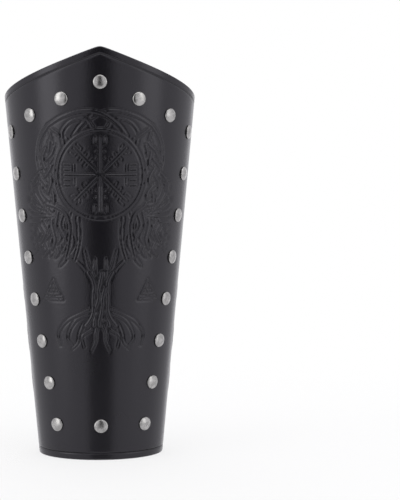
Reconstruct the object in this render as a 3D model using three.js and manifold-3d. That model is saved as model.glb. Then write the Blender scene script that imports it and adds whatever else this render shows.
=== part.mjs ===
// Leather arm guard for the forearm, laced up the back. One piece of stiff leather is wrapped into a tapered
// tube that stays open along the back. Domed rivets follow its front in a V and down both sides, and seven pairs
// of eyelets beside the opening take one round lace, tied in a bow at the elbow end.
// Millimetres, +Z up. The origin is under the middle of the guard, in the plane of the wrist rim, on which it
// stands. The front faces -Y.
import * as THREE from 'three';
import { mergeVertices } from 'three/addons/utils/BufferGeometryUtils.js';
import Module from 'manifold-3d';

// The leather: outside sizes of the tube, its edges and its wall.
const WRIST_HALF_WIDTH = 37.6;
const ELBOW_HALF_WIDTH = 57.4; // at SIDE_HEIGHT
const DEPTH_RATIO = 0.9; // depth of the oval section over its width
const SIDE_HEIGHT = 215; // of the elbow edge at the sides
const PEAK_RISE = 28; // of the front peak above the sides
const PEAK_BEND = 0.3; // how much steeper the edge falls beside the peak
const PEAK_SOFTNESS = 0.02; // rounding of the tip, in quarter turns
const BACK_DROP = 10; // of the elbow edge from the sides to the back
const LEATHER = 2.2;
const BACK_OPENING = 11; // between the two laced edges
const ELBOW_CORNER_RADIUS = 9;
const WRIST_CORNER_RADIUS = 6;

// The rivets: domed caps outside, hollow posts with a broad flange inside.
const CAP_RADIUS = 4;
const CAP_HEIGHT = 1.6;
const CAP_SHOULDER = { radius: 0.72, height: 0.76 }; // shares of the cap's, where its dome bends down
const POST_RADIUS = 2.2;
const RIVET_FLANGE_RADIUS = 4.6;
const RIVET_FLANGE = 0.9;
const POST_BORE_RADIUS = 1.6;
const POST_BORE_DEPTH = 2.6;
const PEAK_RIVET_DROP = 20.5; // below the peak
const CORNER_RIVET = { across: 66.5, drop: 20.5 }; // below the elbow edge at the sides
const WRIST_RIVET = { across: 28, rise: 20.5 }; // above the wrist edge
// The rivets from the peak's to the corner's, as shares of the way out and down to the corner's.
const V_RIVETS = [
  { across: 0.35, fall: 0.34 },
  { across: 0.675, fall: 0.665 },
  { across: 1, fall: 1 },
];
const SIDE_STEPS = 7; // rivets from the corner's down to the wrist's

// The eyelets: a barrel through the leather, rolled over on both faces.
const BORE_RADIUS = 2.75;
const BARREL_WALL = 0.3;
const EYELET_RADIUS = 4.3;
const EYELET_ROLL = 0.85; // height of the roll over the leather
const EYELET_INSET = 12.5; // from the laced edge
const EYELET_ROWS = 7;
const EYELET_FIRST = 16.5; // height of the wrist pair
const EYELET_TOP_DROP = 23.4; // of the elbow pair below the elbow edge at the back
const EYELET_PITCH_GROWTH = 0.76; // each step from pair to pair over the one below it

// The lace.
const LACE_RADIUS = 1.4;
const LACE_SIDES = 8;
const KNOT_RADIUS = 2.9;
const KNOT_HEIGHT = 13.5;
const KNOT_LIFT = 0.5; // of the knot's middle above the top pair of eyelets
const KNOT_OUT = 3.4; // of the knot's middle from the leather's outer face

// Clearances between pieces.
const HOLE_CLEARANCE = 0.3;
const SEAT = 0.2; // under what sits on the bulging outer face
const HOLLOW_SEAT = 0.5; // under what sits on the hollow inner face
const LACE_CLEARANCE = 0.3;

// How finely the curved faces are divided.
const COLUMNS = 46;
const CORNER_COLUMNS = 3;
const ROWS = 2;
const FITTING_SIDES = 10;
const HOLE_SIDES = 10;
const ARC_STEPS = 720;

const QUARTER = Math.PI / 2;
const wasm = await Module();
wasm.setup();

// Length of the section of half width 1 from the front centre line to each of ARC_STEPS even turns.
const unitArc = [0];
for (let i = 1; i <= ARC_STEPS; i++) {
  const turn = (Math.PI * (i - 0.5)) / ARC_STEPS;
  const speed = Math.hypot(Math.cos(turn), DEPTH_RATIO * Math.sin(turn));
  unitArc.push(unitArc[i - 1] + (speed * Math.PI) / ARC_STEPS);
}
const UNIT_HALF = unitArc[ARC_STEPS];

// The turn from the front centre line that lies an arc of the unit section away, by its sign to either side.
function turnAt(arc) {
  const length = Math.abs(arc);
  if (length >= UNIT_HALF) return Math.sign(arc) * (Math.PI + (length - UNIT_HALF));
  let i = 1;
  while (unitArc[i] < length) i++;
  const part = (length - unitArc[i - 1]) / (unitArc[i] - unitArc[i - 1]);
  return (Math.sign(arc) * Math.PI * (i - 1 + part)) / ARC_STEPS;
}

// Half the outside width of the tube at a height.
function halfWidth(z) {
  return WRIST_HALF_WIDTH + ((ELBOW_HALF_WIDTH - WRIST_HALF_WIDTH) * z) / SIDE_HEIGHT;
}

// Half the width of the leather at a height, from the front centre line along its outer face to a laced edge.
function halfLeather(z) {
  return UNIT_HALF * halfWidth(z) - BACK_OPENING / 2;
}

// The level normal of the outer face at a turn, pointing outwards.
function outward(turn) {
  return new THREE.Vector3(DEPTH_RATIO * Math.sin(turn), -Math.cos(turn), 0).normalize();
}

// A point at a turn and a height, a distance out from the leather's outer face (negative is inwards).
function wallPoint(turn, z, out) {
  const half = halfWidth(z);
  const face = new THREE.Vector3(half * Math.sin(turn), -half * DEPTH_RATIO * Math.cos(turn), z);
  return face.addScaledVector(outward(turn), out);
}

// A point measured from the front centre line: across along the outer face, up, and out from that face.
function frontPoint(across, z, out) {
  return wallPoint(turnAt(across / halfWidth(z)), z, out);
}

// The same, measured from the middle of the back opening. Across is positive towards +X.
function backPoint(across, z, out) {
  const arc = UNIT_HALF * halfWidth(z) - Math.abs(across);
  return frontPoint((across < 0 ? -1 : 1) * arc, z, out);
}

// Height of the elbow edge at a turn: it falls from the peak, ever more gently, to the laced edges.
function elbowEdge(turn) {
  const t = Math.hypot(turn / QUARTER, PEAK_SOFTNESS) - PEAK_SOFTNESS;
  if (t <= 1) return SIDE_HEIGHT + PEAK_RISE * (1 - t * (1 + PEAK_BEND * (1 - t)));
  const past = t - 1;
  const fall = PEAK_RISE * (1 - PEAK_BEND);
  return SIDE_HEIGHT - fall * past + (fall - BACK_DROP) * past * past;
}

// How much a corner of a radius takes off the leather's height at a distance in from the laced edge.
function cornerCut(inset, radius) {
  if (inset >= radius) return 0;
  return radius - Math.sqrt(radius * radius - (radius - inset) ** 2);
}

// A closed mesh as a solid for cutting and joining, and back.
function toSolid(geometry) {
  const bare = new THREE.BufferGeometry();
  bare.setIndex(geometry.index);
  bare.setAttribute('position', geometry.getAttribute('position'));
  const merged = mergeVertices(bare, 1e-4);
  const mesh = new wasm.Mesh({
    numProp: 3,
    vertProperties: new Float32Array(merged.attributes.position.array),
    triVerts: new Uint32Array(merged.index.array),
  });
  return new wasm.Manifold(mesh);
}

function toGeometry(solid) {
  const { vertProperties, triVerts, numProp } = solid.getMesh();
  const geometry = new THREE.BufferGeometry();
  const points = new Float32Array((vertProperties.length / numProp) * 3);
  for (let i = 0; i < points.length; i++) {
    points[i] = vertProperties[Math.floor(i / 3) * numProp + (i % 3)];
  }
  geometry.setAttribute('position', new THREE.BufferAttribute(points, 3));
  geometry.setIndex(new THREE.BufferAttribute(new Uint32Array(triVerts), 1));
  geometry.computeVertexNormals();
  return geometry;
}

// Shares of the half leather, from laced edge to laced edge, at which the wall has its columns.
function columnShares() {
  const half = halfLeather(SIDE_HEIGHT);
  const corner = [];
  for (let i = 0; i < CORNER_COLUMNS; i++) {
    corner.push(1 - (ELBOW_CORNER_RADIUS / half) * (1 - Math.cos((QUARTER * i) / CORNER_COLUMNS)));
  }
  const inner = 1 - ELBOW_CORNER_RADIUS / half;
  const shares = corner.map((share) => -share);
  for (let i = 0; i <= COLUMNS; i++) shares.push(inner * ((2 * i) / COLUMNS - 1));
  return [...shares, ...corner.reverse()];
}

// Where each fitting goes through the leather: its place on the outer face and the way out.
function seatAt(point, beside, above) {
  const along = beside.sub(point);
  const up = above.sub(point);
  const way = new THREE.Vector3().crossVectors(along, up).normalize();
  return { point, way: way.dot(outwardOf(point)) < 0 ? way.negate() : way };
}

function outwardOf(point) {
  return new THREE.Vector3(point.x, point.y / DEPTH_RATIO ** 2, 0);
}

const NEARBY = 0.5;
function frontSeat(across, z) {
  const here = frontPoint(across, z, 0);
  return seatAt(here, frontPoint(across + NEARBY, z, 0), wallPoint(turnOf(here), z + NEARBY, 0));
}

function backSeat(across, z) {
  const here = backPoint(across, z, 0);
  return seatAt(here, backPoint(across + NEARBY, z, 0), wallPoint(turnOf(here), z + NEARBY, 0));
}

function turnOf(point) {
  return Math.atan2(point.x, -point.y / DEPTH_RATIO);
}

const rivetSeats = [];
const peakRivetHeight = SIDE_HEIGHT + PEAK_RISE - PEAK_RIVET_DROP;
const cornerRivetHeight = SIDE_HEIGHT - CORNER_RIVET.drop;
rivetSeats.push({ name: 'rivet_peak', ...frontSeat(0, peakRivetHeight) });
V_RIVETS.forEach(({ across, fall }, i) => {
  const z = peakRivetHeight + (cornerRivetHeight - peakRivetHeight) * fall;
  for (const side of [-1, 1]) rivetSeats.push(sideRivet(side, `v${i + 1}`, CORNER_RIVET.across * across, z));
});
for (let i = 1; i <= SIDE_STEPS; i++) {
  const part = i / SIDE_STEPS;
  const across = CORNER_RIVET.across + (WRIST_RIVET.across - CORNER_RIVET.across) * part;
  const z = cornerRivetHeight + (WRIST_RIVET.rise - cornerRivetHeight) * part;
  for (const side of [-1, 1]) rivetSeats.push(sideRivet(side, `side${i}`, across, z));
}
rivetSeats.push({ name: 'rivet_wrist', ...frontSeat(0, WRIST_RIVET.rise) });

function sideRivet(side, label, across, z) {
  return { name: `rivet_${label}_${side < 0 ? 'left' : 'right'}`, ...frontSeat(side * across, z) };
}

// Heights of the eyelet pairs, from the wrist up, and their distance from the middle of the opening.
const eyeletHeights = [];
const eyeletSteps = EYELET_ROWS - 1;
const eyeletRun = SIDE_HEIGHT - BACK_DROP - EYELET_TOP_DROP - EYELET_FIRST;
const firstPitch = eyeletRun / eyeletSteps - (EYELET_PITCH_GROWTH * (eyeletSteps - 1)) / 2;
for (let i = 0; i < EYELET_ROWS; i++) {
  eyeletHeights.push(EYELET_FIRST + firstPitch * i + (EYELET_PITCH_GROWTH * i * (i - 1)) / 2);
}
const EYELET_ACROSS = BACK_OPENING / 2 + EYELET_INSET;
const eyeletSeats = [];
eyeletHeights.forEach((z, i) => {
  for (const side of [1, -1]) {
    const name = `eyelet_${i + 1}_${side > 0 ? 'right' : 'left'}`;
    eyeletSeats.push({ name, ...backSeat(side * EYELET_ACROSS, z) });
  }
});

// The leather is a slab with a grid of columns and rows on both faces, wrapped into the tube and then punched.
function leatherBody() {
  const shares = columnShares();
  const slab = new THREE.BoxGeometry(1, 1, 1, shares.length - 1, ROWS, 1);
  const place = slab.getAttribute('position');
  for (let i = 0; i < place.count; i++) {
    const share = shares[Math.round((place.getX(i) + 0.5) * (shares.length - 1))];
    const inset = (1 - Math.abs(share)) * halfLeather(SIDE_HEIGHT);
    const wristInset = (1 - Math.abs(share)) * halfLeather(0);
    const turn = turnAt((share * halfLeather(SIDE_HEIGHT)) / ELBOW_HALF_WIDTH);
    const top = elbowEdge(turn) - cornerCut(inset, ELBOW_CORNER_RADIUS);
    const bottom = cornerCut(wristInset, WRIST_CORNER_RADIUS);
    const z = bottom + (top - bottom) * (place.getY(i) + 0.5);
    const out = place.getZ(i) > 0 ? 0 : -LEATHER;
    const point = frontPoint(share * halfLeather(z), z, out);
    place.setXYZ(i, point.x, point.y, point.z);
  }
  const cutters = [];
  const punch = (seat, radius, sides) => {
    const cutter = new THREE.CylinderGeometry(radius, radius, 4 * LEATHER, sides);
    cutters.push(toSolid(cutter.applyMatrix4(placing(seat, -LEATHER / 2))));
  };
  for (const seat of rivetSeats) punch(seat, POST_RADIUS + HOLE_CLEARANCE, FITTING_SIDES);
  for (const seat of eyeletSeats) punch(seat, BORE_RADIUS + BARREL_WALL + HOLE_CLEARANCE, HOLE_SIDES);
  return toGeometry(toSolid(slab).subtract(wasm.Manifold.union(cutters)));
}

// The matrix that stands a turned piece, whose axis is Y, on a seat at a distance out from the leather.
function placing(seat, out) {
  const turn = new THREE.Quaternion().setFromUnitVectors(new THREE.Vector3(0, 1, 0), seat.way);
  const point = seat.point.clone().addScaledVector(seat.way, out);
  return new THREE.Matrix4().compose(point, turn, new THREE.Vector3(1, 1, 1));
}

// A piece turned from a profile of [radius, height over the leather's outer face], given inside out.
function turned(profile, sides) {
  return new THREE.LatheGeometry(profile.map(([r, y]) => new THREE.Vector2(r, y)), sides);
}

function rivetGeometry() {
  const flangeTop = -LEATHER - HOLLOW_SEAT;
  const flangeFace = flangeTop - RIVET_FLANGE;
  const profile = [
    [0, flangeFace + POST_BORE_DEPTH],
    [POST_BORE_RADIUS, flangeFace + POST_BORE_DEPTH],
    [POST_BORE_RADIUS, flangeFace],
    [RIVET_FLANGE_RADIUS, flangeTop],
    [POST_RADIUS, flangeTop],
    [POST_RADIUS, SEAT],
    [CAP_RADIUS, SEAT],
    [CAP_SHOULDER.radius * CAP_RADIUS, CAP_SHOULDER.height * CAP_HEIGHT],
    [0, CAP_HEIGHT],
  ];
  return turned(profile, FITTING_SIDES);
}

function eyeletGeometry() {
  const barrel = BORE_RADIUS + BARREL_WALL;
  const crest = (BORE_RADIUS + EYELET_RADIUS) / 2;
  const flangeTop = -LEATHER - HOLLOW_SEAT;
  const flangeRadius = EYELET_RADIUS - BARREL_WALL;
  const profile = [
    [BORE_RADIUS, flangeTop - EYELET_ROLL / 2],
    [crest, flangeTop - EYELET_ROLL],
    [flangeRadius, flangeTop],
    [barrel, flangeTop],
    [barrel, SEAT],
    [EYELET_RADIUS, SEAT],
    [crest, SEAT + EYELET_ROLL],
    [BORE_RADIUS, SEAT + EYELET_ROLL / 2],
    [BORE_RADIUS, flangeTop - EYELET_ROLL / 2],
  ];
  return turned(profile, FITTING_SIDES);
}

// A cord's centre line, straight from each chosen point to the next.
class CordPath extends THREE.Curve {
  constructor(points) {
    super();
    this.points = points;
  }

  getPoint(t, target = new THREE.Vector3()) {
    const at = t * (this.points.length - 1);
    const i = Math.min(Math.floor(at + 1e-9), this.points.length - 2);
    return target.lerpVectors(this.points[i], this.points[i + 1], at - i);
  }

  getPointAt(u, target) {
    return this.getPoint(u, target);
  }

  getTangentAt(u, target = new THREE.Vector3()) {
    const i = Math.round(u * (this.points.length - 1));
    const before = this.points[Math.max(i - 1, 0)];
    const after = this.points[Math.min(i + 1, this.points.length - 1)];
    return target.subVectors(after, before).normalize();
  }
}

function cordGeometry(points) {
  const section = new THREE.Shape();
  for (let i = 0; i < LACE_SIDES; i++) {
    const a = (2 * Math.PI * i) / LACE_SIDES;
    const [x, y] = [LACE_RADIUS * Math.cos(a), LACE_RADIUS * Math.sin(a)];
    if (i === 0) section.moveTo(x, y);
    else section.lineTo(x, y);
  }
  section.closePath();
  const path = new CordPath(points);
  return new THREE.ExtrudeGeometry(section, { steps: points.length - 1, extrudePath: path });
}

// How far out from the leather's outer face the lace's centre runs: beside the leather, and over the eyelets.
const OVER = LACE_RADIUS + LACE_CLEARANCE;
const OVER_EYELET = SEAT + EYELET_ROLL + OVER;
const UNDER = -LEATHER - OVER;
const UNDER_EYELET = -LEATHER - HOLLOW_SEAT - EYELET_ROLL - OVER;

// The lace's way through one eyelet, from inside to outside. Each row: how far it is from the eyelet's middle
// along the way that the lace takes on that face of the leather, and how far out it is.
const EYELET_DIP = 0.5; // of the lace into the eyelet's mouth, where it turns over the roll
const EYELET_PASS = [
  { face: 'inside', along: 3.9, out: UNDER_EYELET },
  { face: 'inside', along: 0.9, out: UNDER_EYELET + EYELET_DIP },
  { face: 'inside', along: -0.3, out: -LEATHER / 2 },
  { face: 'outside', along: 0.9, out: OVER_EYELET - EYELET_DIP },
  { face: 'outside', along: 3.9, out: OVER_EYELET },
];
const CROSSING = 0.7; // share of the way down to the next pair at which the two runs of the lace cross
const FRONT_RUN = 0.95; // how far out the run in front is at a crossing
const REAR_RUN = FRONT_RUN - 2 * LACE_RADIUS - LACE_CLEARANCE;
const FRONT_SIDE = -1; // the side of the opening from which the run in front comes
const EDGE_OVER = 0.4; // how far from the leather, inside the opening, the outer run starts to leave its height
const EDGE_UNDER = 0.8; // how far past the edge the inner run is when it reaches its depth
const TOP_RUN_APART = 1.7; // of the two level runs behind the top pair, from its height
const BAR_SAG = 3; // of the level run outside the wrist pair
const RUN_SAG = { across: 9.5, drop: 0.9 }; // where each outer run hangs lowest under a straight one, and how far

function unit(across, up) {
  const length = Math.hypot(across, up);
  return [across / length, up / length];
}

// The lace through the eyelet on a side and row, with the ways it takes inside and outside as [across, up].
function eyeletPass(side, row, inside, outside) {
  return EYELET_PASS.map(({ face, along, out }) => {
    const way = face === 'inside' ? inside : outside;
    const across = side * EYELET_ACROSS + way[0] * along;
    return backPoint(across, eyeletHeights[row] + way[1] * along, out);
  });
}

function crossingHeight(row) {
  return eyeletHeights[row] - CROSSING * (eyeletHeights[row] - eyeletHeights[row - 1]);
}

// Half of the lace, from the wrist eyelet on a side up to the level run behind the top pair. Between two rows it
// runs inside to the opening, crosses the other half there, and runs on outside to the other edge's eyelet.
function laceHalf(startSide) {
  const points = [];
  let side = startSide;
  let outside = unit(-side * EYELET_ACROSS, -BAR_SAG);
  for (let row = 0; row < EYELET_ROWS; row++) {
    const top = row === EYELET_ROWS - 1;
    const rise = top ? startSide * TOP_RUN_APART : crossingHeight(row + 1) - eyeletHeights[row];
    const inside = unit(-side * EYELET_ACROSS, rise);
    const pass = eyeletPass(side, row, inside, outside).reverse();
    points.push(...pass);
    const level = eyeletHeights[row] + rise;
    const edge = BACK_OPENING / 2;
    if (top) {
      points.push(backPoint(side * edge, level, UNDER));
      points.push(backPoint(-side * edge, level, UNDER));
      points.push(backPoint(-side * (EYELET_ACROSS - EYELET_RADIUS - OVER), level, UNDER));
      break;
    }
    points.push(backPoint(side * (edge - EDGE_UNDER), level - (edge * rise) / EYELET_ACROSS, UNDER));
    const next = -side;
    const outSlope = (eyeletHeights[row + 1] - level) / EYELET_ACROSS;
    points.push(backPoint(0, level, next === FRONT_SIDE ? FRONT_RUN : REAR_RUN));
    const over = edge - EDGE_OVER;
    points.push(backPoint(next * over, level + outSlope * over, OVER));
    points.push(backPoint(next * RUN_SAG.across, level + outSlope * RUN_SAG.across - RUN_SAG.drop, OVER));
    side = next;
    outside = unit(-side * EYELET_ACROSS, level - eyeletHeights[row + 1]);
  }
  return points;
}

// The whole laced run: the half that starts on one side, reversed, the level run outside the wrist pair, and
// the other half.
function laceRoute() {
  const barHeight = eyeletHeights[0] - BAR_SAG;
  const bar = [-1, 0, 1].map((at) => backPoint((at * EYELET_ACROSS) / 2, barHeight, OVER));
  return [...laceHalf(-1).reverse(), ...bar, ...laceHalf(1)];
}

// The bow, in columns: across from the middle of the opening, up from the knot's middle, out from the leather.
const BOW_LEAD = [
  { across: 16.6, up: 1.7, out: 2.9 },
  { across: 12, up: 0.9, out: 2.8 },
  { across: 7.6, up: 0.2, out: 3.1 },
  { across: 3.3, up: 0, out: 3.4 },
];
const BOW_LOOP = [
  { across: 3.3, up: 3.3, out: 3.8 },
  { across: 10.7, up: 5.3, out: 4.4 },
  { across: 17.5, up: 6.6, out: 4.5 },
  { across: 24, up: 6.8, out: 4.1 },
  { across: 29.6, up: 5.1, out: 3.4 },
  { across: 34.2, up: 1.4, out: 2.7 },
  { across: 36.6, up: -3.3, out: 2.2 },
  { across: 36.1, up: -8.2, out: 2 },
  { across: 33, up: -12.2, out: 2.1 },
  { across: 27.7, up: -14.1, out: 2.7 },
  { across: 21.8, up: -13, out: 3.6 },
  { across: 16, up: -9.8, out: 4.9 },
  { across: 10, up: -6.3, out: 5.5 },
  { across: 3.3, up: -3.3, out: 4 },
];
const LACE_END = [
  { across: 3.5, up: -6.5, out: 5 },
  { across: 6.4, up: -10.8, out: 5.6 },
  { across: 9.3, up: -17, out: 5.2 },
  { across: 12.2, up: -25, out: 5.4 },
  { across: 14.8, up: -32, out: 6 },
  { across: 17.3, up: -39, out: 5 },
  { across: 19.8, up: -45.5, out: 3 },
  { across: 22, up: -51, out: 2.1 },
];
const knotHeight = eyeletHeights[EYELET_ROWS - 1] + KNOT_LIFT;

function bowRoute(table, side) {
  return table.map(({ across, up, out }) => backPoint(side * across, knotHeight + up, out));
}

function knotGeometry() {
  const straight = KNOT_HEIGHT / 2 - KNOT_RADIUS;
  const slant = KNOT_RADIUS * Math.SQRT1_2;
  const profile = [
    [0, -KNOT_HEIGHT / 2],
    [slant, -straight - slant],
    [KNOT_RADIUS, -straight],
    [KNOT_RADIUS, straight],
    [slant, straight + slant],
    [0, KNOT_HEIGHT / 2],
  ];
  return turned(profile, FITTING_SIDES).rotateX(QUARTER);
}

const leather = new THREE.MeshStandardMaterial({ color: 0x2b2a2e, roughness: 0.5, metalness: 0 });
const nickel = new THREE.MeshStandardMaterial({ color: 0xb9b8b4, roughness: 0.32, metalness: 1 });
const gunmetal = new THREE.MeshStandardMaterial({ color: 0x8d8b86, roughness: 0.3, metalness: 1 });
const waxedCord = new THREE.MeshStandardMaterial({ color: 0x141414, roughness: 0.45, metalness: 0 });

function named(name, geometry, material) {
  const mesh = new THREE.Mesh(geometry, material);
  mesh.name = name;
  return mesh;
}

// A group of copies of one turned piece, each on its own seat.
function fittings(seats, geometry, material) {
  const group = new THREE.Group();
  for (const seat of seats) {
    const mesh = named(seat.name, geometry, material);
    mesh.applyMatrix4(placing(seat, 0));
    group.add(mesh);
  }
  return group;
}

const laceGroup = new THREE.Group();
laceGroup.add(named('lace', cordGeometry(laceRoute()), waxedCord));
for (const [side, label] of [[-1, 'left'], [1, 'right']]) {
  laceGroup.add(named(`bow_lead_${label}`, cordGeometry(bowRoute(BOW_LEAD, side)), waxedCord));
  laceGroup.add(named(`bow_loop_${label}`, cordGeometry(bowRoute(BOW_LOOP, side)), waxedCord));
  laceGroup.add(named(`lace_end_${label}`, cordGeometry(bowRoute(LACE_END, side)), waxedCord));
}
const knot = named('bow_knot', knotGeometry(), waxedCord);
knot.position.copy(backPoint(0, knotHeight, KNOT_OUT));
laceGroup.add(knot);

const armGuard = new THREE.Group();
armGuard.add(named('leather_body', leatherBody(), leather));
armGuard.add(fittings(rivetSeats, rivetGeometry(), nickel));
armGuard.add(fittings(eyeletSeats, eyeletGeometry(), gunmetal));
armGuard.add(laceGroup);

// The front reaches further than the back, because it is higher, so the tube's axis lies behind the origin.
const frontReach = DEPTH_RATIO * halfWidth(SIDE_HEIGHT + PEAK_RISE);
const backReach = DEPTH_RATIO * halfWidth(SIDE_HEIGHT - BACK_DROP);
armGuard.position.y = (frontReach - backReach) / 2;

export default armGuard;
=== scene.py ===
import math

import bpy
import numpy as np
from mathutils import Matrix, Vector


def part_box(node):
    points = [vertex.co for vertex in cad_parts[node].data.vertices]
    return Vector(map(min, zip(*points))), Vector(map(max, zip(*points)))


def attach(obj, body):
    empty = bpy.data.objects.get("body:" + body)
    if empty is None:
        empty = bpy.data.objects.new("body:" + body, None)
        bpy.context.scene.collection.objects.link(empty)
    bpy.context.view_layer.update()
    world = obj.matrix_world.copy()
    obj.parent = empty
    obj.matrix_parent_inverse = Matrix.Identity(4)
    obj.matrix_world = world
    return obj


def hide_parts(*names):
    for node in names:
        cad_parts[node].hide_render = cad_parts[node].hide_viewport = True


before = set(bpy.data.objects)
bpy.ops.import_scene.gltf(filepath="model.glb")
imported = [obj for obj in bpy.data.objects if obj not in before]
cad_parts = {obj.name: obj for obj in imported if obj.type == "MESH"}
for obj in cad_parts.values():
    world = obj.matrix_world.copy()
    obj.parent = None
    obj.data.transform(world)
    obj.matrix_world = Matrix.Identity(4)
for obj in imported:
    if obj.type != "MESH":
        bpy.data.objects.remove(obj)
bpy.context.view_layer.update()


# The camera. It stands a metre in front of the guard, at three quarters of its height, and looks past it
# to the right, because the photograph has the guard in its left half.
MM = 0.001
CAMERA_PLACE = (0.0, -998.4, 175.6)
CAMERA_YAW = math.radians(3.476)
CAMERA_PITCH = math.radians(3.012)
FOCAL_LENGTH = 118.05

camera_data = bpy.data.cameras.new("camera")
camera_data.lens = FOCAL_LENGTH
camera = bpy.data.objects.new("camera", camera_data)
camera.location = [axis * MM for axis in CAMERA_PLACE]
camera.rotation_euler = (math.pi / 2 - CAMERA_PITCH, 0.0, -CAMERA_YAW)
bpy.context.scene.collection.objects.link(camera)
bpy.context.scene.camera = camera


# The body. One piece of 2.2 mm leather is dyed black, tooled while damp, and wrapped into a tapered oval
# tube that stays open along the back. A creased line follows every cut edge on both faces, and the edges
# are round.
WRIST_HALF_WIDTH = 37.6
ELBOW_HALF_WIDTH = 57.4
DEPTH_RATIO = 0.9
SIDE_HEIGHT = 215.0
PEAK_RISE = 28.0
PEAK_BEND = 0.3
PEAK_SOFTNESS = 0.02
BACK_DROP = 10.0
LEATHER = 2.2
BACK_OPENING = 11.0
ELBOW_CORNER = 9.0
WRIST_CORNER = 6.0
EDGE_ROUND = 0.75
SECTION_PLACES = 1441

SECTION_TURNS = np.linspace(0, np.pi, SECTION_PLACES)
SECTION_MIDDLES = (SECTION_TURNS[1:] + SECTION_TURNS[:-1]) / 2
SECTION_STEPS = np.hypot(np.cos(SECTION_MIDDLES), DEPTH_RATIO * np.sin(SECTION_MIDDLES)) * SECTION_TURNS[1]
SECTION_ARCS = np.concatenate([[0.0], np.cumsum(SECTION_STEPS)])
HALF_SECTION = SECTION_ARCS[-1]


def half_width(z):
    """Half the tube's outside width: it grows evenly from the wrist to the elbow end."""
    return WRIST_HALF_WIDTH + (ELBOW_HALF_WIDTH - WRIST_HALF_WIDTH) * z / SIDE_HEIGHT


AXIS_Y = DEPTH_RATIO * (half_width(SIDE_HEIGHT + PEAK_RISE) - half_width(SIDE_HEIGHT - BACK_DROP)) / 2


def half_leather(z):
    """Half the leather's width at a height: half the oval's length, less half the opening."""
    return HALF_SECTION * half_width(z) - BACK_OPENING / 2


HALF = half_leather(SIDE_HEIGHT)


def turn_at(arc):
    """Turn from the front centre line at an arc along the oval of half width 1, from the table of its
    arcs. Past the back's middle it goes on evenly."""
    past = np.maximum(np.abs(arc) - HALF_SECTION, 0)
    return np.sign(arc) * (np.interp(np.abs(arc), SECTION_ARCS, SECTION_TURNS) + past)


def outward(turn):
    """Level normal of the oval (sin t, -k cos t), which is (k sin t, -cos t) made one long."""
    way = np.stack([DEPTH_RATIO * np.sin(turn), -np.cos(turn), np.zeros_like(turn)], axis=-1)
    return way / np.linalg.norm(way, axis=-1, keepdims=True)


def wall(turn, z, out):
    """Point at a turn and height: the oval times the half width there, moved out along the level
    normal."""
    turn, z, out = np.broadcast_arrays(turn, z, out)
    half = half_width(z)
    face = np.stack([half * np.sin(turn), AXIS_Y - half * DEPTH_RATIO * np.cos(turn), z], axis=-1)
    return face + outward(turn) * out[..., None]


def elbow_edge(turn):
    """Height of the elbow edge: a bent roof from the peak to the sides, then a gentle fall to the
    back."""
    t = np.hypot(turn / (np.pi / 2), PEAK_SOFTNESS) - PEAK_SOFTNESS
    roof = SIDE_HEIGHT + PEAK_RISE * (1 - t * (1 + PEAK_BEND * (1 - t)))
    past = np.maximum(t - 1, 0)
    fall = PEAK_RISE * (1 - PEAK_BEND)
    return np.where(t <= 1, roof, SIDE_HEIGHT - fall * past + (fall - BACK_DROP) * past**2)


def corner_cut(inset, radius):
    """What a round corner takes off the height at an inset from the laced edge: a quarter circle."""
    short = np.clip(radius - inset, 0, radius)
    return radius - np.sqrt(radius**2 - short**2)


# The tooled strands. Each is a path on the flat leather, across and up, with half widths and a level
# along it. Where two cross, the one with the higher level shows, and the cut beside it runs through the
# other, as on carved leather.
STRAND_RISE = 0.2
CUT_DEPTH = 0.42
CUT_WIDTH = 1.05
CUT_SHORTEST = 0.45
STRAND_PLACES = 30
LEAF_TIP = 0.3
LEAF_FULLNESS = 0.7
HAIR = 1e-9
NO_LENGTH = 1e-12


def smooth_path(corners, count):
    """A curve through the corners: each step blends two parabolas (Catmull-Rom), sampled evenly."""
    p = np.asarray(corners, float)
    p = np.vstack([2 * p[0] - p[1], p, 2 * p[-1] - p[-2]])
    at = np.linspace(0, len(p) - 3 - HAIR, count)
    i = at.astype(int)
    t = (at - i)[:, None]
    a, b, c, d = p[i], p[i + 1], p[i + 2], p[i + 3]
    return 0.5 * (2 * b + (c - a) * t + (2 * a - 5 * b + 4 * c - d) * t**2 + (3 * b - a - 3 * c + d) * t**3)


def nearest(across, up, path):
    """Distance from each point to a path of straight steps, and the place along it, counted in steps."""
    best = np.full(across.shape, np.inf)
    place = np.zeros(across.shape)
    for step in range(len(path) - 1):
        start, way = path[step], path[step + 1] - path[step]
        along = ((across - start[0]) * way[0] + (up - start[1]) * way[1]) / max(way @ way, NO_LENGTH)
        along = np.clip(along, 0, 1)
        gap = np.hypot(across - start[0] - along * way[0], up - start[1] - along * way[1])
        closer = gap < best
        best[closer] = gap[closer]
        place[closer] = step + along[closer]
    return best, place


def tool(across, up, strands):
    """Height of the carved surface: over the topmost strand a low dome, and beside it a cut whose depth
    is a squared sine of the root of the distance, so that it is steep at the strand and slopes away from
    it."""
    relief = np.zeros(across.shape)
    top = np.full(across.shape, -np.inf)
    for path, halves, levels in strands:
        margin = np.max(halves) + CUT_WIDTH
        low, high = path.min(axis=0) - margin, path.max(axis=0) + margin
        near = np.flatnonzero((across > low[0]) & (across < high[0]) & (up > low[1]) & (up < high[1]))
        gap, place = nearest(across[near], up[near], path)
        half = np.interp(place, np.arange(len(path)), halves)
        level = np.interp(place, np.arange(len(path)), levels)
        shows = (gap < half + CUT_WIDTH) & (level > top[near])
        dome = STRAND_RISE * np.sqrt(np.clip(1 - (gap / half) ** 2, 0, 1))
        beside = np.clip((gap - half) / CUT_WIDTH, 0, 1)
        cut = -CUT_DEPTH * np.sin(np.pi * np.sqrt(beside)) ** 2
        height = np.where(gap < half, dome, cut) * np.clip(half / CUT_SHORTEST, 0, 1)
        relief[near[shows]] = height[shows]
        top[near[shows]] = level[shows]
    return relief


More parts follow.
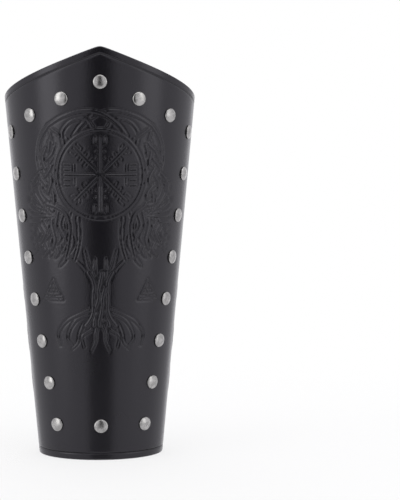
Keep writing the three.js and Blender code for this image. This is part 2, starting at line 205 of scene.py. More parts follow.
def strand(corners, half, levels=0.0, tip=None, count=STRAND_PLACES):
    """A strand along a smooth curve through corners, of one half width or narrowing to a tip. Its level
    is one number, or one for each corner."""
    path = smooth_path(corners, count)
    halves = np.linspace(half, half if tip is None else tip, count)
    stops = np.atleast_1d(np.asarray(levels, float))
    return path, halves, np.interp(np.linspace(0, 1, count), np.linspace(0, 1, len(stops)), stops)


def leaf(corners, half, level):
    """A strand that swells in the middle: its half width follows half a sine wave, made fuller by a
    power."""
    path, _, levels = strand(corners, half, level)
    share = np.linspace(0, 1, len(path))
    return path, LEAF_TIP + (half - LEAF_TIP) * np.sin(np.pi * share) ** LEAF_FULLNESS, levels


def both(*strands, woven=False):
    """Each strand and its mirror image across the front centre line, with crossings swapped where
    woven."""
    mirrored = [(path * [-1, 1], halves, -levels if woven else levels) for path, halves, levels in strands]
    return [*strands, *mirrored]


# The compass in the middle of the emblem: a ring, and eight staves with bars and forked, bowed or combed
# ends.
COMPASS = np.array([0.0, 169.3])
RING_RADIUS = 26.0
RING_HALF = 0.75
RING_PLACES = 97
RING_LEVEL = 2.0
HUB = 1.0
STAVE_HALF = 0.42
STAVE_LENGTH = 21.6
STAVE_LEVEL = 0.5
STAVE_ENDS = [
    {"bars": (9.4, 13.4), "bar": 2.9, "fork": 3.4, "teeth": 0, "bow": 0.0},
    {"bars": (10.6, 14.6), "bar": 2.6, "fork": 0.0, "teeth": 0, "bow": 3.0},
    {"bars": (), "bar": 0.0, "fork": 0.0, "teeth": 5, "bow": 0.0},
    {"bars": (10.0, 14.0), "bar": 2.8, "fork": 3.3, "teeth": 0, "bow": 0.0},
]
FORK_DEPTH = 1.1
FORK_SLOPE = 0.2
COMB_AT = 15.4
COMB_TOOTH = 3.0
COMB_GAP = 1.6
BOW_SET_BACK = 0.6
BOW_PLACES = 9


def polar(radius, turn):
    """Points at radii and turns from the compass's middle; turns run from straight up towards +X."""
    radius, turn = np.broadcast_arrays(radius, turn)
    return COMPASS + np.stack([radius * np.sin(turn), radius * np.cos(turn)], axis=-1)


def stave(turn, ends):
    """One arm of the compass: a straight stave, cross bars, and a fork, a comb or a bow at its outer
    end."""
    along = np.array([math.sin(turn), math.cos(turn)])
    aside = np.array([along[1], -along[0]])
    strokes = [[(0, HUB), (0, STAVE_LENGTH)]]
    for bar in ends["bars"]:
        strokes.append([(-ends["bar"], bar), (ends["bar"], bar)])
    if ends["fork"]:
        root = STAVE_LENGTH - FORK_DEPTH * ends["fork"]
        for tine in (-ends["fork"], ends["fork"]):
            strokes.append([(0, root), (tine, root + FORK_SLOPE), (tine, STAVE_LENGTH)])
    if ends["teeth"]:
        reach = COMB_TOOTH * (ends["teeth"] - 1) / 2
        strokes.append([(-reach, COMB_AT), (reach, COMB_AT)])
        for x in np.linspace(-reach, reach, ends["teeth"]):
            strokes.append([(x, COMB_AT + COMB_GAP), (x, STAVE_LENGTH)])
    if ends["bow"]:
        swing = np.linspace(-np.pi / 2, np.pi / 2, BOW_PLACES)
        middle = STAVE_LENGTH - BOW_SET_BACK
        strokes.append([(ends["bow"] * math.sin(a), middle - ends["bow"] * math.cos(a)) for a in swing])
    for stroke in strokes:
        flat = np.array(stroke, float)
        path = COMPASS + flat[:, :1] * aside + flat[:, 1:] * along
        yield path, np.full(len(path), STAVE_HALF), np.full(len(path), STAVE_LEVEL)


def compass():
    """The ring and its eight arms, which repeat their ends on the other side of the middle."""
    ring = polar(RING_RADIUS, np.linspace(-np.pi, np.pi, RING_PLACES))
    yield ring, np.full(RING_PLACES, RING_HALF), np.full(RING_PLACES, RING_LEVEL)
    for arm in range(2 * len(STAVE_ENDS)):
        yield from stave(arm * math.pi / len(STAVE_ENDS), STAVE_ENDS[arm % len(STAVE_ENDS)])


# The knotwork round the compass: a pointed knot over it, and a plait and feathers down either side.
ARCH = [(15.5, 191.5), (10.5, 198.0), (1.5, 204.2), (-10.0, 206.0), (-22.0, 202.8), (-32.0, 197.5)]
UNDER_ARCH = [(-4.5, 197.0), (-8.5, 201.4), (-17.0, 200.0), (-22.5, 194.0), (-21.5, 187.0)]
CORNER = [(-32.0, 197.5), (-37.4, 189.5), (-39.2, 180.0), (-37.5, 171.0)]
TIE = [(-32.0, 197.5), (-26.0, 193.6), (-19.5, 190.0)]
RIB = [(-31.4, 196.0), (-28.6, 187.5), (-28.8, 180.0), (-33.0, 172.5)]
ARCH_HALF = 0.95
UNDER_ARCH_HALF = 0.85
TIE_HALF = 0.8
PLAIT_RADIUS = 34.2
PLAIT_SWING = 4.0
PLAIT_TURNS = (1.02, 2.2)
PLAIT_WAVES = 1.35
PLAIT_HALF = 1.0
PLAIT_LEVEL = 1.6
PLAIT_HELD = (0.08, 0.92)
PLAIT_FULLNESS = 0.4
PLAIT_PLACES = 90
FEATHERS = 6
FEATHER = np.array([(-38.4, 171.0), (-44.4, 161.5), (-36.0, 150.2)])
FEATHER_STEP = np.array([(-1.4, -4.4), (-0.35, -3.9), (1.9, -1.3)])
FEATHER_HALF = 1.15
FEATHER_LEVEL = 0.9
FEATHER_BELOW = 0.15


def crown():
    """The knot over the ring: an arch that crosses its mirror image, a pointed corner, and ties to the
    ring."""
    arch = strand(ARCH, ARCH_HALF, (1.5, 1.5, 1.0, 0.5, -1.0, 0.4), count=50)
    corner = strand(CORNER, ARCH_HALF, (0.4, 1.2, -0.8, 0.3))
    pointed = tuple(np.concatenate([first, second[1:]]) for first, second in zip(arch, corner))
    under_arch = strand(UNDER_ARCH, UNDER_ARCH_HALF, (-0.5, -0.8, -0.6, 0.2, 1.0), count=40)
    tie = strand(TIE, TIE_HALF, (-2.0, 0.6, -1.0))
    rib = strand(RIB, TIE_HALF, (-2.5, -0.6, 0.8, -0.8))
    return [*both(pointed, under_arch, woven=True), *both(tie, rib)]


def plaits():
    """Three strands at either side of the ring, that swing about a larger circle a third of a wave apart.
    The swing follows a power of half a sine wave, held short of its ends, so that the plait narrows
    there."""
    turn = np.linspace(*PLAIT_TURNS, PLAIT_PLACES)
    share = np.linspace(0, 1, PLAIT_PLACES)
    swing = PLAIT_SWING * np.sin(np.pi * np.clip(share, *PLAIT_HELD)) ** PLAIT_FULLNESS
    for third in range(3):
        phase = 2 * np.pi * (PLAIT_WAVES * share + third / 3)
        path = polar(PLAIT_RADIUS + swing * np.sin(phase), turn)
        levels = PLAIT_LEVEL * np.sin(2 * phase)
        yield from both((path, np.full(PLAIT_PLACES, PLAIT_HALF), levels), woven=True)


def wings():
    """Feathers outside the plaits, one below the other, that curve down and in to the bough under the
    ring."""
    for row in range(FEATHERS):
        level = FEATHER_LEVEL - FEATHER_BELOW * row
        yield from both(leaf(FEATHER + row * FEATHER_STEP, FEATHER_HALF, level))


# The tree below the compass: hanging leaves, boughs, a trunk twisted of five strands, and spreading
# roots.
LEAF_ROWS = [
    {"count": 8, "inner": 17.5, "spread": 26.5, "top": 148.0, "fall": 25.0},
    {"count": 6, "inner": 22.5, "spread": 19.5, "top": 138.0, "fall": 20.5},
]
LEAF_HALF = 1.25
LEAF_RISE = 3.0
LEAF_SHORTENING = 0.38
LEAF_UNEVENNESS = 2.5
LEAF_WAVE = 2.6
LEAF_CURVE = [(-1.0, 0.35), (0.6, 0.72), (-0.7, 1.0)]
LEAF_LEVEL = 0.3
LEAF_BELOW = 0.03
ROW_BELOW = 0.5
SWAY = 2.2
SWAY_UNEVENNESS = 0.9
SWAY_WAVE = 1.7
BOUGHS = [
    {"corners": [(-33.5, 152.2), (-26.0, 150.0), (-20.0, 145.5), (-18.2, 137.0), (-19.2, 128.0),
                 (-20.8, 121.5)],
     "half": 1.0, "level": 1.4, "tip": 0.5},
    {"corners": [(-13.0, 143.8), (-12.2, 135.0), (-13.2, 126.5), (-15.5, 119.0)],
     "half": 0.9, "level": 1.3, "tip": 0.4},
    {"corners": [(-20.8, 121.5), (-13.5, 118.6), (-7.2, 111.5), (-3.4, 103.0)],
     "half": 0.75, "level": 1.2, "tip": 0.75},
]
INNER_LEAVES = [
    {"corners": [(-9.5, 125.5), (-7.4, 117.0), (-4.6, 110.0), (-1.6, 103.0)], "half": 0.9, "level": 0.7},
    {"corners": [(-3.4, 120.5), (-3.6, 113.5), (-2.6, 107.0), (-2.2, 100.0)], "half": 0.8, "level": 0.6},
]
TRUNK_TOP = 112.0
TRUNK_FOOT = 80.5
TRUNK_WAIST = 97.5
TRUNK_FLARE = 0.0052
TRUNK_STRANDS = 5
TRUNK_SPACING = 1.75
TRUNK_SWAY = 0.75
TRUNK_WAVE = 3.4
TRUNK_SHIFT = 2.3
TRUNK_HALF = 0.8
TRUNK_LEVEL = 1.6
TRUNK_WEAVE = 0.3
TRUNK_WEAVE_SHIFT = 0.7
TRUNK_PLACES = 64
ROOT_TIP = 0.3
ROOTS = [
    {"corners": [(-4.0, 91.0), (-12.0, 87.6), (-20.5, 83.0), (-26.0, 75.5), (-24.6, 68.5)],
     "half": 0.95, "level": 0.8},
    {"corners": [(-5.0, 88.5), (-13.5, 84.6), (-18.0, 79.0), (-19.5, 73.0), (-16.4, 69.0)],
     "half": 0.9, "level": 0.6},
    {"corners": [(-4.5, 85.5), (-9.6, 81.5), (-12.4, 76.0), (-13.6, 70.5), (-17.0, 66.8)],
     "half": 0.9, "level": 0.9},
    {"corners": [(-2.5, 84.0), (-5.6, 78.5), (-10.6, 74.5), (-9.6, 68.0)], "half": 0.85, "level": 0.5},
    {"corners": [(1.5, 84.0), (-2.6, 78.0), (-3.2, 71.5), (-5.4, 66.0)], "half": 0.85, "level": 1.0},
]
TRIANGLES = np.array([29.4, 99.6])
TRIANGLE_RADIUS = 5.5
TRIANGLE_SHIFT = 2.2
TRIANGLE_HALF = 0.5
LEG_PLACES = 9


def foliage():
    """Leaves that hang from the boughs in two rows, in a long S each. How far a leaf falls and sways goes
    up and down along its row as a sine wave, so that the tips are at uneven heights."""
    for row, leaves in enumerate(LEAF_ROWS):
        for place in range(leaves["count"]):
            share = place / (leaves["count"] - 1)
            across = leaves["inner"] + leaves["spread"] * share
            drop = leaves["fall"] * (1 - LEAF_SHORTENING * share)
            drop += LEAF_UNEVENNESS * math.sin(LEAF_WAVE * place + row)
            sway = SWAY + SWAY_UNEVENNESS * math.sin(SWAY_WAVE * place + 2 * row)
            corners = [(-across, leaves["top"] + LEAF_RISE * share)]
            corners += [(-across + aside * sway, leaves["top"] - down * drop) for aside, down in LEAF_CURVE]
            level = LEAF_LEVEL - ROW_BELOW * row - LEAF_BELOW * place
            yield from both(leaf(corners, LEAF_HALF, level))


def tree():
    """Boughs from under the ring to the trunk, strands that sway past each other down the trunk, each a
    sine wave of the height with its own shift, and roots that fan out."""
    boughs = [strand(bough["corners"], bough["half"], bough["level"], bough["tip"]) for bough in BOUGHS]
    yield from both(*boughs)
    yield from both(*(leaf(**inner_leaf) for inner_leaf in INNER_LEAVES))
    z = np.linspace(TRUNK_TOP, TRUNK_FOOT, TRUNK_PLACES)
    flare = 1 + TRUNK_FLARE * (z - TRUNK_WAIST) ** 2
    for place in range(TRUNK_STRANDS):
        wave = (z - TRUNK_FOOT) / TRUNK_WAVE + TRUNK_SHIFT * place
        across = (place - TRUNK_STRANDS // 2) * TRUNK_SPACING * flare + TRUNK_SWAY * np.sin(wave)
        levels = TRUNK_LEVEL + TRUNK_WEAVE * np.sin(wave + TRUNK_WEAVE_SHIFT * place)
        yield np.stack([across, z], axis=-1), np.full(TRUNK_PLACES, TRUNK_HALF), levels
    roots = [strand(root["corners"], root["half"], root["level"], ROOT_TIP) for root in ROOTS]
    yield from both(*roots, woven=True)


def triangles():
    """Three triangles at either side of the trunk, moved out from their middle a third of a turn apart."""
    for third in range(3):
        lean = third * 2 * np.pi / 3
        middle = TRIANGLES + TRIANGLE_SHIFT * np.array([math.sin(lean), math.cos(lean)])
        turns = np.arange(4) * 2 * np.pi / 3
        corners = middle + TRIANGLE_RADIUS * np.stack([np.sin(turns), np.cos(turns)], axis=-1)
        legs = np.concatenate([np.linspace(corners[i], corners[i + 1], LEG_PLACES)[:-1] for i in range(3)])
        legs = np.vstack([legs, corners[:1]])
        levels = np.cos(np.linspace(0, 6 * np.pi, len(legs)) + lean)
        yield from both((legs, np.full(len(legs), TRIANGLE_HALF), levels))


emblem = [drawn for part in (compass, crown, plaits, wings, foliage, tree, triangles) for drawn in part()]


# The band on each back panel: three flat strands in a long plait that closes at both ends. It is laid out
# on the flat leather, so it keeps its distance from the laced edge.
BAND_TOP = 187.0
BAND_FOOT = 33.0
BAND_INSET = 48.0
BAND_SWING = 16.0
BAND_PERIOD = 83.0
BAND_SHIFT = 6.0
BAND_HALF = 2.1
BAND_FULLNESS = 0.35
BAND_BEND = 0.96
BAND_PLACES = 190


def band(side):
    """A plait up one back panel: each strand zigzags about a line beside the laced edge. The zigzag is
    the arc sine of a sine that stays just under one, so that it is round at its turns."""
    z = np.linspace(BAND_FOOT, BAND_TOP, BAND_PLACES)
    share = (z - BAND_FOOT) / (BAND_TOP - BAND_FOOT)
    swing = BAND_SWING * np.clip(np.sin(np.pi * share), 0, 1) ** BAND_FULLNESS
    for third in range(3):
        phase = 2 * np.pi * ((z + BAND_SHIFT) / BAND_PERIOD + third / 3)
        zigzag = np.arcsin(BAND_BEND * np.sin(phase)) / math.asin(BAND_BEND)
        across = half_leather(z) - BAND_INSET - swing * zigzag
        path = np.stack([side * across, z], axis=-1)
        yield path, np.full(BAND_PLACES, BAND_HALF), side * np.sin(2 * phase)


# The crease. A blunt iron presses a line in beside every cut edge, deep on the outer face and less deep
# on the inner one.
CREASE_INSET = 4.1
CREASE_WIDTH = 0.65
CREASE_DEPTH = 0.5
INNER_CREASE = 0.7
CREASE_REACH = 14.0
CREASE_REACH_DOWN = 30.0
OUTLINE_PLACES = 60
OUTLINE_CORNER = 12.0
OUTLINE_CORNER_PLACES = 13
OUTLINE_EDGE = (14.0, 165.0)


def leather_outline():
    """The cut outline on the flat leather, from the wrist's middle round one side: edges and corners."""
    heights = np.linspace(0, SIDE_HEIGHT + PEAK_RISE, OUTLINE_PLACES)
    near_corner = np.linspace(0, 1, OUTLINE_CORNER_PLACES) ** 2 * OUTLINE_CORNER
    insets = np.concatenate([near_corner, np.linspace(*OUTLINE_EDGE, OUTLINE_PLACES)])
    top = elbow_edge(turn_at((HALF - insets) / ELBOW_HALF_WIDTH)) - corner_cut(insets, ELBOW_CORNER)
    foot = corner_cut(insets, WRIST_CORNER)
    upper = np.stack([half_leather(top) * (1 - insets / HALF), top], axis=-1)
    upper[:OUTLINE_CORNER_PLACES, 0] = half_leather(top[:OUTLINE_CORNER_PLACES]) - near_corner
    lower = np.stack([half_leather(foot) - insets, foot], axis=-1)
    lower = lower[lower[:, 0] > 0]
    laced = np.stack([half_leather(heights), heights], axis=-1)
    laced = laced[(heights > foot[0]) & (heights < top[0])]
    return np.vstack([[(0.0, 0.0)], lower[::-1], laced, upper, [(0.0, SIDE_HEIGHT + PEAK_RISE)]])


def crease(across, up):
    """Depth of the line that follows the outline: a squared cosine about its inset from the edge."""
    depth = np.zeros(across.shape)
    side = half_leather(up) - np.abs(across)
    at_ends = (up < CREASE_REACH) | (up > SIDE_HEIGHT - CREASE_REACH_DOWN)
    close = np.flatnonzero((side < CREASE_REACH) | at_ends)
    gap, _ = nearest(np.abs(across[close]), up[close], leather_outline())
    beside = np.abs(gap - CREASE_INSET) / CREASE_WIDTH
    depth[close] = -CREASE_DEPTH * np.cos(np.pi / 2 * np.clip(beside, 0, 1)) ** 2
    return depth


# The body's mesh. Three panels of columns up the leather meet in seams of triangles: the front, with
# close rows and columns for the emblem, and a panel at either side of it with the band.
EDGE_BAND = 7.0
ROUND_TURNS = np.radians([22.5, 45.0, 67.5, 90.0])
ROUNDED = len(ROUND_TURNS)
EDGE_PLACES = 2 * ROUNDED - 1
AT_CREASE = CREASE_INSET + np.linspace(-0.6, 0.6, 5)
NEAR_EDGE = np.concatenate([[EDGE_ROUND, 1.6, 2.5, 3.1], AT_CREASE, [5.2, 6.0, EDGE_BAND]])
INNER_ROWS = 9
PLAIN_SPACING = 2.0
FRONT_PANEL = 52.0
FRONT_COLUMNS = [(-46.0, 1.5), (46.0, 0.61), (FRONT_PANEL, 1.5)]
SIDE_START = FRONT_PANEL + 1.5
SIDE_COLUMNS = [(71.0, 3.0), (136.0, 1.2), (HALF - 12.0, 2.6), (HALF - 8.0, 1.4)]
EMBLEM_ROWS = {"low": 65.0, "high": 209.0, "spacing": 0.6}
BAND_ROWS = {"low": 30.0, "high": 189.0, "spacing": 1.03}


def graded(start, stretches):
    """Values from a start through several stretches (end, spacing), each divided evenly."""
    values = [np.array([start])]
    for end, spacing in stretches:
        begin = values[-1][-1]
        count = max(1, round(abs(end - begin) / spacing))
        values.append(np.linspace(begin, end, count + 1)[1:])
    return np.concatenate(values)


def panel(arcs, insets, height, low, high, spacing):
    """One panel of the body as closed loops, one to a column: up the outer face, over the edge, down the
    inner face and under the wrist edge. A column keeps its share of the leather's width at every height.
    Rows follow the edges near them, and are level from low to high. Gives across and up on the flat
    leather and the depth under the outer face, each as places on the loop by columns, and how many of the
    places are on the outer and on the inner face."""
    shares = arcs / HALF
    top = elbow_edge(turn_at(shares * HALF / ELBOW_HALF_WIDTH)) - corner_cut(insets, ELBOW_CORNER)
    foot = corner_cut(insets, WRIST_CORNER)
    start, stop = foot + EDGE_BAND, top - EDGE_BAND
    below = np.linspace(0, 1, round((low - EDGE_BAND) / PLAIN_SPACING))[1:-1, None]
    above = np.linspace(0, 1, round((height - EDGE_BAND - high) / PLAIN_SPACING))[1:-1, None]
    level = np.linspace(low, high, round((high - low) / spacing))[:, None] + 0 * foot
    inner = np.linspace(0, 1, INNER_ROWS)[1:-1, None]
    lower, upper = foot + NEAR_EDGE[:, None], top - NEAR_EDGE[::-1, None]
    outer_up = np.vstack([lower, start + (low - start) * below, level, high + (stop - high) * above, upper])
    inner_up = np.vstack([lower, start + (stop - start) * inner, upper])[::-1]
    short = EDGE_ROUND * (1 - np.sin(ROUND_TURNS))[:, None]
    bend = np.broadcast_to(EDGE_ROUND * (1 - np.cos(ROUND_TURNS))[:, None], (ROUNDED, len(top)))
    over, under = top - short, foot + short
    up = np.vstack([outer_up, over, over[-2::-1], inner_up, under, under[-2::-1]])
    sunk = np.vstack([
        np.zeros_like(outer_up), bend, LEATHER - bend[-2::-1],
        np.full_like(inner_up, LEATHER), LEATHER - bend, bend[-2::-1],
    ])
    lean = 1 - np.clip(insets / EDGE_ROUND, 0, 1)
    edge_bend = EDGE_ROUND * (1 - np.sqrt(1 - lean**2))
    sunk = np.clip(sunk, edge_bend, LEATHER - edge_bend)
    return shares * half_leather(up), up, sunk, len(outer_up), len(inner_up)


def zip_up(left, right, left_keys, right_keys):
    """Triangles between two rising rows of vertices: each step takes the row whose next step lies
    lower."""
    left_middles = (left_keys[1:] + left_keys[:-1]) / 2
    right_middles = (right_keys[1:] + right_keys[:-1]) / 2
    j = np.searchsorted(right_middles, left_middles, side="left")
    i = np.searchsorted(left_middles, right_middles, side="right")
    steps = np.stack([left[:-1], right[j], left[1:]], axis=-1)
    return np.vstack([steps, np.stack([left[i], right[:-1], right[1:]], axis=-1)])


def between_columns(first, second):
    """Four-sided faces between two closed loops of vertices with as many places each."""
    return np.stack([first, second, np.roll(second, -1, axis=0), np.roll(first, -1, axis=0)], axis=-1)


def make_mesh(name, points, faces, smooth=True):
    """A mesh object at the origin from points in millimetres and lists of faces."""
    mesh = bpy.data.meshes.new(name)
    mesh.from_pydata((points * MM).tolist(), [], [face for block in faces for face in block.tolist()])
    mesh.polygons.foreach_set("use_smooth", np.full(len(mesh.polygons), smooth))
    made = bpy.data.objects.new(name, mesh)
    bpy.context.scene.collection.objects.link(made)
    return made


def keep_values(piece, **kept):
    """Keeps values on a piece's points under their names, for its finish to read."""
    for name, values in kept.items():
        attribute = piece.data.attributes.new(name, "FLOAT", "POINT")
        attribute.data.foreach_set("value", values.astype(np.float32))


front_arcs = graded(-FRONT_PANEL, FRONT_COLUMNS)
edge_insets = EDGE_ROUND * (1 - np.sin(np.radians([30.0, 60.0, 90.0])))
side_arcs = np.concatenate([graded(SIDE_START, SIDE_COLUMNS), HALF - NEAR_EDGE[::-1], HALF - edge_insets])
side_insets = HALF - side_arcs
panels = [
    panel(-side_arcs[::-1], side_insets[::-1], SIDE_HEIGHT, **BAND_ROWS),
    panel(front_arcs, np.full(len(front_arcs), HALF), SIDE_HEIGHT + PEAK_RISE, **EMBLEM_ROWS),
    panel(side_arcs, side_insets, SIDE_HEIGHT, **BAND_ROWS),
]

points, faces, tooled, fleshed, loops = [], [], [], [], []
count = 0
for (across, up, sunk, outer, inner), strands in zip(panels, [list(band(-1)), emblem, list(band(1))]):
    relief = np.zeros(across.shape)
    flat = across[:outer].ravel(), up[:outer].ravel()
    relief[:outer] = (tool(*flat, strands) + crease(*flat)).reshape(relief[:outer].shape)
    back = slice(outer + EDGE_PLACES, outer + EDGE_PLACES + inner)
    inner_line = crease(across[back].ravel(), up[back].ravel())
    relief[back] = -INNER_CREASE * inner_line.reshape(relief[back].shape)
    turn = turn_at(across / half_width(up))
    points.append(wall(turn, up, relief - sunk).reshape(-1, 3))
    tooled.append(np.where(sunk < LEATHER - EDGE_ROUND, relief, -relief).ravel())
    fleshed.append((sunk / LEATHER).ravel())
    ids = count + np.arange(across.size).reshape(across.shape)
    count += across.size
    for column in range(across.shape[1] - 1):
        faces.append(between_columns(ids[:, column], ids[:, column + 1]))
    loops.append((ids, up, outer))

# The seams between the panels, and the two laced edges, where the outer face meets the inner one.
for (left_ids, left_up, left_outer), (right_ids, right_up, right_outer) in zip(loops, loops[1:]):
    first, second = left_ids[:, -1], right_ids[:, 0]
    left_keys, right_keys = left_up[:left_outer, -1], right_up[:right_outer, 0]
    faces.append(zip_up(first[:left_outer], second[:right_outer], left_keys, right_keys))
    first = np.concatenate([first[left_outer - 1:], first[:1]])
    second = np.concatenate([second[right_outer - 1:], second[:1]])
    faces.append(np.stack([first[:-1], second[:-1], second[1:], first[1:]], axis=-1))
for (ids, up, outer), column, flip in ((loops[0], 0, True), (loops[-1], -1, False)):
    places = np.arange(len(ids))
    front = np.concatenate([places[1 - ROUNDED:], places[:outer + ROUNDED]])
    rear = places[outer + ROUNDED:1 - ROUNDED][::-1]
    cap = zip_up(ids[front, column], ids[rear, column], up[front, column], up[rear, column])
    faces.append(cap[:, ::-1] if flip else cap)

body = make_mesh("leather", np.vstack(points), faces)
keep_values(body, tooled=np.concatenate(tooled), fleshed=np.concatenate(fleshed))


# The holes. Every rivet and eyelet goes through a punched hole, square to the leather.
RIVET_HOLE = 2.5
EYELET_HOLE = 3.35
HOLE_SIDES = 28
PUNCH_FOOT = -6.0
PUNCH_TOP = 3.0
SHARP_EDGE = 70.0
HOLE_SLACK = 0.01


def seat_of(node):
    """Where a fitting goes through the leather, and its way out: its box's middle, moved along the cone's
    normal to the outer face."""
    low, high = (np.array(corner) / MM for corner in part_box(node))
    middle = (low + high) / 2
    turn = np.arctan2(middle[0], (AXIS_Y - middle[1]) / DEPTH_RATIO)
    level = outward(turn)
    section = np.array([np.sin(turn), -DEPTH_RATIO * np.cos(turn), 0])
    growth = (ELBOW_HALF_WIDTH - WRIST_HALF_WIDTH) / SIDE_HEIGHT * (section @ level)
    way = (level - growth * np.array([0, 0, 1])) / math.hypot(1, growth)
    return middle + way * ((wall(turn, middle[2], np.array(0.0)) - middle) @ level) * (way @ level), way


def capped(rings, first, last):
    """Faces of a closed piece from rows of vertices round it: bands between rows, and fans at the poles."""
    sides = rings.shape[1]
    starts, ends = rings[:-1], rings[1:]
    walls = np.stack([starts, np.roll(starts, -1, 1), np.roll(ends, -1, 1), ends], axis=-1).reshape(-1, 4)
    foot = np.stack([np.full(sides, first), np.roll(rings[0], -1), rings[0]], axis=-1)
    head = np.stack([np.full(sides, last), rings[-1], np.roll(rings[-1], -1)], axis=-1)
    return [walls, foot, head]


def turned(seat, way, profile, sides, closed):
    """Points and faces turned from a profile (radius, height along the way) about a seat's axis. A
    profile that isn't closed starts and ends on the axis, where its rings close to poles."""
    aside = np.cross([0.0, 0.0, 1.0], way)
    aside /= np.linalg.norm(aside)
    other = np.cross(way, aside)
    swing = np.arange(sides) * 2 * np.pi / sides
    round_way = np.cos(swing)[:, None] * aside + np.sin(swing)[:, None] * other
    rings = profile if closed else profile[1:-1]
    points = (seat + rings[:, 1, None, None] * way + rings[:, 0, None, None] * round_way).reshape(-1, 3)
    ids = np.arange(len(points)).reshape(len(rings), sides)
    if closed:
        ends = np.roll(ids, -1, axis=0)
        faces = np.stack([ids, np.roll(ids, -1, 1), np.roll(ends, -1, 1), ends], axis=-1)
        return points, [faces.reshape(-1, 4)]
    poles = seat + profile[[0, -1], 1, None] * way
    return np.vstack([points, poles]), capped(ids, len(points), len(points) + 1)


cutter_points, cutter_faces, holes, size = [], [], [], 0
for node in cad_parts:
    if node.startswith(("rivet_", "eyelet_")):
        seat, way = seat_of(node)
        hole = EYELET_HOLE if node.startswith("eyelet_") else RIVET_HOLE
        shape = np.array([(0, PUNCH_FOOT), (hole, PUNCH_FOOT), (hole, PUNCH_TOP), (0, PUNCH_TOP)])
        hole_points, hole_faces = turned(seat, way, shape, HOLE_SIDES, False)
        holes.append((seat, way, hole))
        cutter_points.append(hole_points)
        cutter_faces += [block + size for block in hole_faces]
        size += len(hole_points)
cutter = make_mesh("punch", np.vstack(cutter_points), cutter_faces, False)
punch = body.modifiers.new("punch", "BOOLEAN")
punch.object = cutter
punch.solver = "EXACT"
punched = bpy.data.meshes.new_from_object(body.evaluated_get(bpy.context.evaluated_depsgraph_get()))
body.modifiers.clear()
body.data = punched
punched.set_sharp_from_angle(angle=math.radians(SHARP_EDGE))
bpy.data.objects.remove(cutter)

# The cut edges of the holes are new points, which get their depth under the outer face here.
spots = np.empty(3 * len(punched.vertices))
punched.vertices.foreach_get("co", spots)
spots = spots.reshape(-1, 3) / MM
stored = {name: np.empty(len(spots)) for name in ("tooled", "fleshed")}
for name, values in stored.items():
    punched.attributes[name].data.foreach_get("value", values)
for seat, way, hole in holes:
    sunk = (seat - spots) @ way
    off = np.linalg.norm(spots - seat + sunk[:, None] * way, axis=1)
    rim = (off < hole + HOLE_SLACK) & (np.abs(sunk) < 2 * LEATHER)
    stored["fleshed"][rim] = np.clip(np.round(sunk[rim] / LEATHER), 0, 1)
    stored["tooled"][rim] = 0.0
for name, values in stored.items():
    punched.attributes[name].data.foreach_set("value", values.astype(np.float32))
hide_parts("leather_body")
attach(body, "root")


# Finishes are expressions: a socket's operators add Math nodes, and one method adds any other node.
class Amount:
    """A number that changes over a surface: an output socket that can be added, multiplied and so on."""

    def __init__(self, finish, socket):
        self.finish, self.socket = finish, socket

    def math(self, operation, *values):
        inputs = dict(enumerate((self, *values)))
        return self.finish.node("ShaderNodeMath", {"operation": operation}, inputs)

    def __add__(self, other):
        return self.math("ADD", other)

    def __sub__(self, other):
        return self.math("SUBTRACT", other)

    def __rsub__(self, other):
        return (self * -1) + other

    def __mul__(self, other):
        return self.math("MULTIPLY", other)

    __radd__, __rmul__ = __add__, __mul__

    def between(self, low, high):
        """Zero up to low, one from high, and even in between."""
        limits = {"From Min": low, "From Max": high}
        return self.finish.node("ShaderNodeMapRange", {"clamp": True}, {"Value": self, **limits})


class Finish:
    """One material. Nodes are added by type: settings first, then the values or links of their sockets."""

    def __init__(self, name, **fixed):
        self.material = bpy.data.materials.new(name)
        self.material.use_nodes = True
        self.tree = self.material.node_tree
        self.shader = self.tree.nodes["Principled BSDF"]
        self.set(**fixed)

    def node(self, kind, settings=None, inputs=None, output=0):
        added = self.tree.nodes.new(kind)
        for setting, value in (settings or {}).items():
            setattr(added, setting, value)
        for socket, value in (inputs or {}).items():
            self.join(value, added.inputs[socket])
        return Amount(self, added.outputs[output])

    def join(self, value, socket):
        if isinstance(value, Amount):
            self.tree.links.new(value.socket, socket)
        else:
            socket.default_value = value

    def set(self, **values):
        """Sets or links the shader's own sockets."""
        for socket, value in values.items():
            self.join(value, self.shader.inputs[socket.replace("_", " ")])

    def mix(self, share, first, second):
        """A colour part of the way from the first to the second."""
        sides = {"Factor": share, 6: first, 7: second}
        return self.node("ShaderNodeMix", {"data_type": "RGBA"}, sides, output=2)

    def place(self):
        """The piece's own coordinates."""
        return self.node("ShaderNodeTexCoord", output=3)

    def noise(self, scale, detail=2.0):
        """Noise from 0 to 1 on the piece's own coordinates. Its features are a metre over scale across."""
        inputs = {"Vector": self.place(), "Scale": scale, "Detail": detail}
        return self.node("ShaderNodeTexNoise", {}, inputs)

    def stored(self, name):
        """A value kept on the mesh's points."""
        return self.node("ShaderNodeAttribute", {"attribute_name": name}, output=2)

    def bump(self, height, distance):
        """Bends the shading by a height of that many metres."""
        inputs = {"Strength": 1.0, "Distance": distance, "Height": height}
        self.set(Normal=self.node("ShaderNodeBump", {}, inputs))


# The leather's finish: black and semi-gloss, with a fine grain and faint blotches. The wax is dull in the
# tooled lines and on the inside. The tooled lines and creases are darkened with painted shade, and the
# rounded cut edges are greyer, partly their own colour and partly a painted highlight.
DYE = (0.0082, 0.0076, 0.0098, 1)
DARKER_DYE = (0.0058, 0.0054, 0.0070, 1)
# Painted shade: the near-black that the tooled lines and creases are darkened to.
PAINTED_GROOVE_SHADE = (0.0015, 0.0014, 0.0018, 1)
# The rounded cut edges' colour: a greyer cut edge, made lighter still as a painted highlight.
GREY_EDGE_AND_HIGHLIGHT = (0.11, 0.107, 0.116, 1)
GRAIN_SCALE = 1500.0
PORE_SCALE = 900.0
BLOTCH_SCALE = 35.0
GRAIN_HEIGHT = 0.00004

